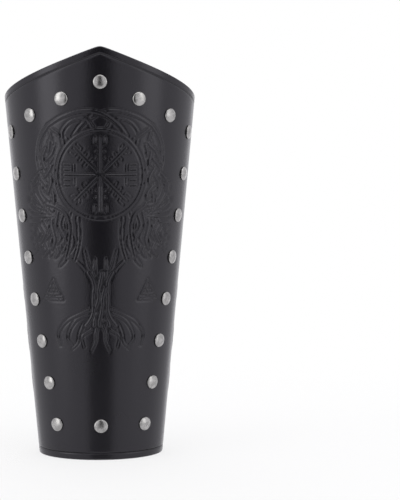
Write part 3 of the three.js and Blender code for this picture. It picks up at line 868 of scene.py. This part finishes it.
leather = Finish("black_leather", Specular_IOR_Level=0.62, Specular_Tint=(0.96, 0.94, 1.0, 1))
grain = leather.noise(GRAIN_SCALE, 3.0)
pores = leather.node("ShaderNodeTexVoronoi", {}, {"Vector": leather.place(), "Scale": PORE_SCALE})
blotch = leather.noise(BLOTCH_SCALE, 4.0)
depth_share = leather.stored("fleshed")
tooling = leather.stored("tooled")
inside = depth_share.between(0.75, 0.95)
# The rounded cut edges, painted greyer: partly the cut edge's own colour, partly a painted highlight.
edge = depth_share.between(0.02, 0.14) * (1 - depth_share.between(0.86, 0.98))
# Where the tooled lines and creases sink: painted shade in the colour, and duller wax in the roughness.
groove_shade_and_dullness = (tooling * -1).between(0.05, 0.4)
proud = tooling.between(0.05, 0.2)
# The dye and its blotches, darkened by painted shade in the tooled lines and creases.
dye_and_groove_shade = leather.mix(groove_shade_and_dullness * 0.8, leather.mix(blotch, DYE, DARKER_DYE), PAINTED_GROOVE_SHADE)
leather.set(
    Base_Color=leather.mix(edge * 0.8, dye_and_groove_shade, GREY_EDGE_AND_HIGHLIGHT),
    Roughness=0.22 + 0.08 * blotch + 0.14 * groove_shade_and_dullness + 0.12 * inside - 0.04 * proud,
)
leather.bump(grain * 0.6 + pores * 0.5, GRAIN_HEIGHT)
body.data.materials.clear()
body.data.materials.append(leather.material)


# The rivets. Each is a double cap rivet: a polished domed cap over a post, set from inside on a broad cap
# whose middle stays hollow. The leather is pinched between the two.
BACK_PROFILE = [(0.0, -1.2), (1.2, -1.25), (1.55, -1.6), (1.6, -2.7), (1.75, -3.05), (2.3, -3.24),
                (3.1, -3.26), (4.1, -3.12), (4.55, -2.86), (4.62, -2.52), (4.3, -2.32)]
POST_PROFILE = [(2.2, -2.3), (2.2, 0.06)]
CAP_PROFILE = [(3.2, 0.06), (3.85, 0.06), (4.08, 0.2), (4.1, 0.5), (3.86, 0.88), (3.3, 1.14), (2.4, 1.4),
               (1.2, 1.6), (0.0, 1.66)]
PROFILE_STEPS = 3
RIVET_SIDES = 40
DULL_NICKEL = (0.40, 0.395, 0.38, 1)
BRIGHT_NICKEL = (0.58, 0.572, 0.55, 1)
HANDLING_SCALE = 420.0
DENT_SCALE = 260.0
DENT_HEIGHT = 0.00002

nickel = Finish("polished_nickel", Metallic=1.0)
handling = nickel.noise(HANDLING_SCALE, 5.0)
nickel.set(
    Base_Color=nickel.mix(handling.between(0.35, 0.65), DULL_NICKEL, BRIGHT_NICKEL),
    Roughness=0.2 + 0.14 * handling,
)
nickel.bump(nickel.noise(DENT_SCALE), DENT_HEIGHT)


def fittings(kind, metal, profile, sides, closed, finish):
    """Turned pieces on their seats, each in the place of the frame's node."""
    for node in [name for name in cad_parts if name.startswith(kind)]:
        piece_points, piece_faces = turned(*seat_of(node), profile, sides, closed)
        piece = make_mesh(metal + "_" + node, piece_points, piece_faces)
        piece.data.materials.append(finish.material)
        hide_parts(node)
        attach(piece, "root")


stretches = (BACK_PROFILE, POST_PROFILE, CAP_PROFILE)
rivet_profile = np.vstack([smooth_path(corners, PROFILE_STEPS * len(corners)) for corners in stretches])
rivet_profile[[0, -1], 0] = 0.0
fittings("rivet_", "nickel", rivet_profile, RIVET_SIDES, False, nickel)


# The eyelets. Each is one gunmetal barrel in a punched hole. It has a smooth roll on the outer face, and is
# splayed and rolled over on the inner one.
EYELET_PROFILE = [(2.75, -1.1), (2.77, -2.7), (2.95, -3.2), (3.35, -3.35), (3.85, -3.0), (4.15, -2.6),
                  (4.05, -2.34), (3.5, -2.32), (3.05, -2.2), (3.05, -1.1), (3.07, -0.1), (3.6, 0.04),
                  (4.15, 0.05), (4.3, 0.26), (4.2, 0.6), (3.92, 0.9), (3.52, 1.04), (3.12, 0.92),
                  (2.88, 0.56), (2.77, 0.0), (2.75, -1.1)]
EYELET_SIDES = 44
DARK_PLATE = (0.33, 0.323, 0.308, 1)
WEAR_SCALE = 500.0

gunmetal = Finish("gunmetal", Base_Color=DARK_PLATE, Metallic=1.0)
gunmetal.set(Roughness=0.08 + 0.12 * gunmetal.noise(WEAR_SCALE, 5.0))
eyelet_profile = smooth_path(EYELET_PROFILE, PROFILE_STEPS * len(EYELET_PROFILE) - 2)[:-1]
fittings("eyelet_", "gunmetal", eyelet_profile, EYELET_SIDES, True, gunmetal)


# The lace. One round cord of waxed black braid starts at the knot, goes in through one elbow eyelet,
# crosses behind the opening, and laces down to the wrist and up again on the other side, back to the
# knot.
LACE_RADIUS = 1.4
LACE_SIDES = 20
LACE_STEP = 0.42
ROUTE_STEPS = 24
BRAID_STRANDS = 4
BRAID_PITCH = 2.3
BRAID_DEPTH = 0.12
BRAID_MEAN = 0.75
END_ROUNDING = 0.75
EYELET_ROWS = 7
SEAT = 0.2
HOLLOW_SEAT = 0.5
EYELET_ROLL = 0.85
LACE_CLEARANCE = 0.3
OVER = LACE_RADIUS + LACE_CLEARANCE
OVER_EYELET = SEAT + EYELET_ROLL + OVER
UNDER = -LEATHER - OVER
UNDER_EYELET = -LEATHER - HOLLOW_SEAT - EYELET_ROLL - OVER
EYELET_ACROSS = BACK_OPENING / 2 + 12.5
EYELET_DIP = 0.5
EYELET_PASS = [(3.9, OVER_EYELET, 1), (0.9, OVER_EYELET - EYELET_DIP, 1), (-0.3, -LEATHER / 2, -1),
               (0.9, UNDER_EYELET + EYELET_DIP, -1), (3.9, UNDER_EYELET, -1)]
CROSSING = 0.7
FRONT_RUN = 0.95
REAR_RUN = FRONT_RUN - 2 * LACE_RADIUS - LACE_CLEARANCE
FRONT_SIDE = -1
EDGE_OVER = 0.4
EDGE_UNDER = 0.8
TOP_RUN_APART = 1.7
BAR_SAG = 3.0
RUN_SAG_ACROSS = 9.5
RUN_SAG_DROP = 0.9
KNOT_LIFT = 0.5
UPRIGHT = np.array([0.0, 0.0, 1.0])
OUTWARDS = np.array([0.0, 1.0, 0.0])


def back_point(across, up, out):
    """Point by its arc across from the middle of the opening, its height, and out from the outer face."""
    arc = HALF_SECTION - abs(across) / half_width(up)
    side = -1 if across < 0 else 1
    return wall(turn_at(np.array(arc)) * side, np.array(float(up)), np.array(float(out)))


eyelet_heights = [float(seat_of(f"eyelet_{row + 1}_left")[0][2]) for row in range(EYELET_ROWS)]
knot_height = eyelet_heights[-1] + KNOT_LIFT


def through_eyelet(side, row, inside_way, outside_way):
    """The lace through one eyelet, from outside to inside: out over the roll, down the barrel, and in
    under it."""
    route = []
    for along, out, face in EYELET_PASS:
        way = inside_way if face < 0 else outside_way
        place = side * EYELET_ACROSS + way[0] * along
        route.append(back_point(place, eyelet_heights[row] + way[1] * along, out))
    return route


def unit(across, up):
    """A direction made one long."""
    length = math.hypot(across, up)
    return across / length, up / length


def lace_half(start_side):
    """Half of the lace, from a wrist eyelet up: inside to the opening, across it, and outside to the next
    eyelet. From the elbow eyelet it only crosses behind the opening. Gives the route and the side it ends
    on."""
    route, side = [], start_side
    outside = unit(-side * EYELET_ACROSS, -BAR_SAG)
    edge = BACK_OPENING / 2
    over = edge - EDGE_OVER
    for row, height in enumerate(eyelet_heights[:-1]):
        following = eyelet_heights[row + 1]
        rise = following - CROSSING * (following - height) - height
        level = height + rise
        route += through_eyelet(side, row, unit(-side * EYELET_ACROSS, rise), outside)
        route.append(back_point(side * (edge - EDGE_UNDER), level - edge * rise / EYELET_ACROSS, UNDER))
        side = -side
        route.append(back_point(0.0, level, FRONT_RUN if side == FRONT_SIDE else REAR_RUN))
        slope = (following - level) / EYELET_ACROSS
        route.append(back_point(side * over, level + slope * over, OVER))
        sagged = level + slope * RUN_SAG_ACROSS - RUN_SAG_DROP
        route.append(back_point(side * RUN_SAG_ACROSS, sagged, OVER))
        outside = unit(-side * EYELET_ACROSS, level - following)
    rise = start_side * TOP_RUN_APART
    route += through_eyelet(side, EYELET_ROWS - 1, unit(-side * EYELET_ACROSS, rise), outside)
    level = eyelet_heights[-1] + rise
    return route + [back_point(side * edge, level, UNDER), back_point(-side * edge, level, UNDER)], -side


# The stretch from behind a flap, out through its elbow eyelet beside the other run, and along to the
# knot.
LEAD = [(14.6, 1.0, UNDER_EYELET), (16.4, 1.0, -3.6), (16.9, 1.1, -1.1), (16.9, 1.4, 1.6), (15.6, 1.5, 2.9),
        (12.0, 0.9, 2.8), (7.6, 0.2, 3.1), (3.3, 0.0, 3.4), (1.2, 0.2, 2.8)]


def bow_route(table, side):
    """Points of a table of (across, above the knot's middle, out) on one side of the opening."""
    return [back_point(side * across, knot_height + up, out) for across, up, out in table]


def rope_path(corners, count):
    """A curve through the corners whose steps follow the spacing of the corners (centripetal
    Catmull-Rom)."""
    p = np.vstack([2 * corners[0] - corners[1], corners, 2 * corners[-1] - corners[-2]])
    knots = np.concatenate([[0], np.cumsum(np.linalg.norm(np.diff(p, axis=0), axis=1) ** 0.5)])
    t = np.linspace(knots[1], knots[-2] - HAIR, count)
    i = np.clip(np.searchsorted(knots, t, side="right") - 1, 1, len(p) - 3)
    t = t[:, None]
    t0, t1, t2, t3 = (knots[i + shift][:, None] for shift in (-1, 0, 1, 2))
    p0, p1, p2, p3 = p[i - 1], p[i], p[i + 1], p[i + 2]
    a1 = ((t1 - t) * p0 + (t - t0) * p1) / (t1 - t0)
    a2 = ((t2 - t) * p1 + (t - t1) * p2) / (t2 - t1)
    a3 = ((t3 - t) * p2 + (t - t2) * p3) / (t3 - t2)
    b1 = ((t2 - t) * a1 + (t - t0) * a2) / (t2 - t0)
    b2 = ((t3 - t) * a2 + (t - t1) * a3) / (t3 - t1)
    return ((t2 - t) * b1 + (t - t1) * b2) / (t2 - t1)


def even_steps(route, step):
    """A smooth curve through the route's points, with a point at each even step of its length."""
    fine = rope_path(np.array(route), ROUTE_STEPS * len(route))
    length = np.concatenate([[0], np.cumsum(np.linalg.norm(np.diff(fine, axis=0), axis=1))])
    at = np.linspace(0, length[-1], round(length[-1] / step))
    return np.stack([np.interp(at, length, fine[:, axis]) for axis in range(3)], axis=-1), length[-1]


def braided(route, reference):
    """Points, faces and turns of a braided cord along a route, and its middle line: rings whose radius
    follows two crossing families of spirals, high where both are, and ends that close to a point."""
    line, length = even_steps(route, LACE_STEP)
    way = np.gradient(line, axis=0)
    way /= np.linalg.norm(way, axis=1, keepdims=True)
    aside = np.cross(way, reference)
    aside /= np.linalg.norm(aside, axis=1, keepdims=True)
    other = np.cross(way, aside)
    swing = np.arange(LACE_SIDES) * 2 * np.pi / LACE_SIDES
    along = np.linspace(0, length, len(line))[:, None]
    right = np.sin(BRAID_STRANDS * swing / 2 + np.pi * along / BRAID_PITCH)
    left = np.sin(BRAID_STRANDS * swing / 2 - np.pi * along / BRAID_PITCH)
    braid = np.sqrt(np.abs(right * left))
    ease = np.clip(np.minimum(along, length - along) / LACE_RADIUS, 0, 1)
    closing = np.sqrt(1 - (1 - ease) ** 2 * END_ROUNDING)
    shape = LACE_RADIUS * (1 + BRAID_DEPTH * (braid - BRAID_MEAN)) * closing
    round_way = np.cos(swing)[:, None] * aside[:, None] + np.sin(swing)[:, None] * other[:, None]
    rings = line[:, None] + shape[..., None] * round_way
    points = np.vstack([rings.reshape(-1, 3), line[:1], line[-1:]])
    ids = np.arange(len(points) - 2).reshape(len(line), LACE_SIDES)
    turns = [np.concatenate([turn.ravel(), [0, 0]]) for turn in (right, left)]
    return points, capped(ids, len(points) - 2, len(points) - 1), turns, line


BLACK_YARN = (0.002, 0.002, 0.002, 1)
# The crowns of the yarn are painted lighter: partly rubbed wax, partly a painted highlight.
RUBBED_WAX_AND_GLINT = (0.18, 0.18, 0.184, 1)
WAX_SCALE = 900.0
FIBRE_SCALE = 3200.0
YARN_HEIGHT = 0.00012

waxed_braid = Finish("waxed_braid", Specular_IOR_Level=0.3)
crown_of_yarn = (waxed_braid.stored("right_turn") * waxed_braid.stored("left_turn")).math("ABSOLUTE")
# Towards the crowns of the yarn the colour turns lighter, partly as rubbed wax and partly as a painted
# highlight.
waxed_braid.set(
    Base_Color=waxed_braid.mix(crown_of_yarn.between(0.5, 0.95), BLACK_YARN, RUBBED_WAX_AND_GLINT),
    Roughness=0.5 - 0.15 * crown_of_yarn + 0.1 * waxed_braid.noise(WAX_SCALE),
)
waxed_braid.bump(crown_of_yarn + 0.3 * waxed_braid.noise(FIBRE_SCALE), YARN_HEIGHT)


def braided_piece(name, points, faces, turns, replaced):
    """A piece of the braid that stands for the frame's nodes. Its points keep the sine of the turn of
    each family of spirals, for its finish to read."""
    piece = make_mesh(name, points, faces)
    keep_values(piece, right_turn=turns[0], left_turn=turns[1])
    piece.data.materials.append(waxed_braid.material)
    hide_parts(*replaced)
    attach(piece, "root")
    return piece


def cord(name, route, reference, replaced):
    """A stretch of the lace: a braided piece along its route, in the place of the frame's nodes."""
    points, faces, turns, line = braided(route, reference)
    piece = braided_piece(name, points, faces, turns, replaced)
    tuple(route[0] * MM)


rising, rising_side = lace_half(1)
rising += bow_route(LEAD, rising_side)
falling, falling_side = lace_half(-1)
falling += bow_route(LEAD, falling_side)
bar_height = eyelet_heights[0] - BAR_SAG
bar = [back_point(share * EYELET_ACROSS, bar_height, OVER) for share in (-0.5, 0.0, 0.5)]
lace_nodes = ["lace", "bow_lead_left", "bow_lead_right"]
cord("laced_run", falling[::-1] + bar + rising, UPRIGHT, lace_nodes)


# The bow. Each side has one loop, which stands a little off the leather, and one cut end that hangs down.
BOW_LOOP = [(0.6, 2.4, 3.0), (3.3, 3.3, 3.8), (10.7, 5.3, 4.4), (17.5, 6.6, 4.5), (24.0, 6.8, 4.1),
            (29.6, 5.1, 3.4), (34.2, 1.4, 2.7), (36.6, -3.3, 2.2), (36.1, -8.2, 2.0), (33.0, -12.2, 2.1),
            (27.7, -14.1, 2.7), (21.8, -13.0, 3.6), (16.0, -9.8, 4.9), (10.0, -6.3, 5.5), (3.3, -3.3, 4.0),
            (0.5, -1.8, 3.0)]
LACE_END = [(0.8, -1.4, 3.6), (3.5, -6.5, 5.0), (6.4, -10.8, 5.6), (9.3, -17.0, 5.2), (12.2, -25.0, 5.4),
            (14.8, -32.0, 6.0), (17.3, -39.0, 5.0), (19.8, -45.5, 3.0), (22.0, -51.0, 2.1)]
for side, label in ((-1, "left"), (1, "right")):
    loop_route = bow_route(BOW_LOOP, side)
    cord("loop_" + label, loop_route, OUTWARDS, ["bow_loop_" + label])
    end_route = bow_route(LACE_END, side)
    cord("end_" + label, end_route, OUTWARDS, ["lace_end_" + label])


# The knot. The lace wraps once round its own crossing, and stands up in a small turn over the top of it.
WRAP = [(0.6, 5.6, 4.6), (0.9, 2.5, 6.6), (0.9, -2.0, 6.9), (0.5, -5.4, 5.4), (0.0, -5.8, 2.6),
        (-0.3, -2.0, 0.9), (-0.2, 2.2, 0.9), (0.2, 5.4, 2.4), (0.6, 5.6, 4.6)]
TURN_OVER = [(0.6, 1.6, 3.4), (3.4, 4.2, 3.9), (4.4, 7.0, 3.6), (2.8, 9.3, 3.3), (0.8, 8.6, 3.4),
             (-0.2, 5.4, 3.2), (-0.4, 2.0, 2.6)]
CORE = [(-4.2, 2.4, 3.4), (-1.5, 0.9, 3.9), (1.5, -0.9, 4.1), (4.2, -3.2, 3.9)]
SIDEWAYS = np.array([1.0, 0.0, 0.0])


def knot_route(table):
    """Points of a table of (to the right, above the knot's middle, out) straight behind the opening."""
    middle = back_point(0.0, knot_height, 0.0)
    return [middle + [across, out, up] for across, up, out in table]


knot_points, knot_faces, knot_turns, size = [], [], [], 0
for table, reference in ((WRAP, SIDEWAYS), (TURN_OVER, OUTWARDS), (CORE, UPRIGHT)):
    strand_points, strand_faces, turns, _ = braided(knot_route(table), reference)
    knot_points.append(strand_points)
    knot_faces += [block + size for block in strand_faces]
    knot_turns.append(turns)
    size += len(strand_points)
braided_piece("knot", np.vstack(knot_points), knot_faces, np.concatenate(knot_turns, axis=1), ["bow_knot"])


# The studio. A white floor fades into a white background. Soft boxes stand at both sides, overhead and
# behind, with a low card of light for the back. A black flag in front, which the camera doesn't see,
# keeps the middle of the guard dark.
FLOOR_RADIUS = 6.0
FLOOR_SIDES = 64
FLOOR_CLEARNESS = 0.74
FADE_RADIUS = 0.45
ROOM_LIGHT = 0.72
ROOM_COLOUR = (0.96, 0.95, 1, 1)
BACKGROUND_WHITE = 1.0
AIM = (0, 0, 0.12)
SOFT_BOXES = [
    {"name": "left_box", "place": (-1.5, -0.9, 0.5), "size": (0.8, 1.6), "power": 5.0},
    {"name": "right_box", "place": (1.5, -0.9, 0.5), "size": (0.8, 1.6), "power": 3.0},
    {"name": "rear_box", "place": (0.0, 1.1, 1.6), "size": (1.4, 1.0), "power": 9.0},
    {"name": "overhead_box", "place": (0.0, -0.5, 1.7), "size": (1.4, 1.0), "power": 5.0},
    {"name": "low_card", "place": (0.0, 1.6, -0.15), "size": (2.4, 0.9), "power": 3.2},
]
FLAG_DISTANCE = 1.4
FLAG_OUTLINE = [(-0.7, 0.5), (-0.2, 0.45), (0.1, 0.3), (1.3, 0.26)]


def stage_sheet(name, rim, finish):
    """A flat sheet of the studio with a rim in metres."""
    mesh = bpy.data.meshes.new(name)
    mesh.from_pydata(rim, [], [list(range(len(rim)))])
    mesh.materials.append(finish.material)
    sheet = bpy.data.objects.new(name, mesh)
    bpy.context.scene.collection.objects.link(sheet)
    return sheet


paper = Finish("white_paper", Base_Color=(0.9, 0.9, 0.9, 1), Roughness=0.9, Specular_IOR_Level=0.1)
reach = paper.node("ShaderNodeVectorMath", {"operation": "LENGTH"}, {0: paper.place()}, output=1)
clearness = FLOOR_CLEARNESS + (1 - FLOOR_CLEARNESS) * reach.between(0.0, FADE_RADIUS)
fade = paper.node("ShaderNodeMixShader", {}, {0: clearness, 2: paper.node("ShaderNodeBsdfTransparent")})
paper.tree.links.new(paper.shader.outputs[0], fade.socket.node.inputs[1])
paper.join(fade, paper.tree.nodes["Material Output"].inputs["Surface"])
swing = np.arange(FLOOR_SIDES) * 2 * np.pi / FLOOR_SIDES
floor_rim = FLOOR_RADIUS * np.stack([np.cos(swing), np.sin(swing), 0 * swing], axis=-1)
stage_sheet("floor", floor_rim.tolist(), paper)

felt = Finish("black_felt", Base_Color=(0.01, 0.01, 0.01, 1), Roughness=1.0, Specular_IOR_Level=0.0)
flag_rim = [(half, -FLAG_DISTANCE, height) for height, half in FLAG_OUTLINE]
flag_rim += [(-half, -FLAG_DISTANCE, height) for height, half in FLAG_OUTLINE[::-1]]
flag = stage_sheet("black_flag", flag_rim, felt)
flag.visible_camera = False

world = bpy.data.worlds.new("studio")
bpy.context.scene.world = world
world.use_nodes = True
studio = world.node_tree
room = studio.nodes["Background"]
room.inputs["Strength"].default_value = ROOM_LIGHT
room.inputs["Color"].default_value = ROOM_COLOUR
white = studio.nodes.new("ShaderNodeBackground")
white.inputs["Strength"].default_value = BACKGROUND_WHITE
white.inputs["Color"].default_value = (1, 1, 1, 1)
rays = studio.nodes.new("ShaderNodeLightPath")
seen = studio.nodes.new("ShaderNodeMixShader")
studio.links.new(rays.outputs["Is Camera Ray"], seen.inputs[0])
studio.links.new(room.outputs[0], seen.inputs[1])
studio.links.new(white.outputs[0], seen.inputs[2])
studio.links.new(seen.outputs[0], studio.nodes["World Output"].inputs["Surface"])

for box in SOFT_BOXES:
    light = bpy.data.lights.new(box["name"], "AREA")
    light.shape = "RECTANGLE"
    light.size, light.size_y = box["size"]
    light.energy = box["power"]
    lamp = bpy.data.objects.new(box["name"], light)
    lamp.location = box["place"]
    lamp.visible_camera = False
    lamp.rotation_euler = (Vector(AIM) - lamp.location).to_track_quat("-Z", "Y").to_euler()
    bpy.context.scene.collection.objects.link(lamp)

bpy.context.scene.view_settings.view_transform = "Standard"
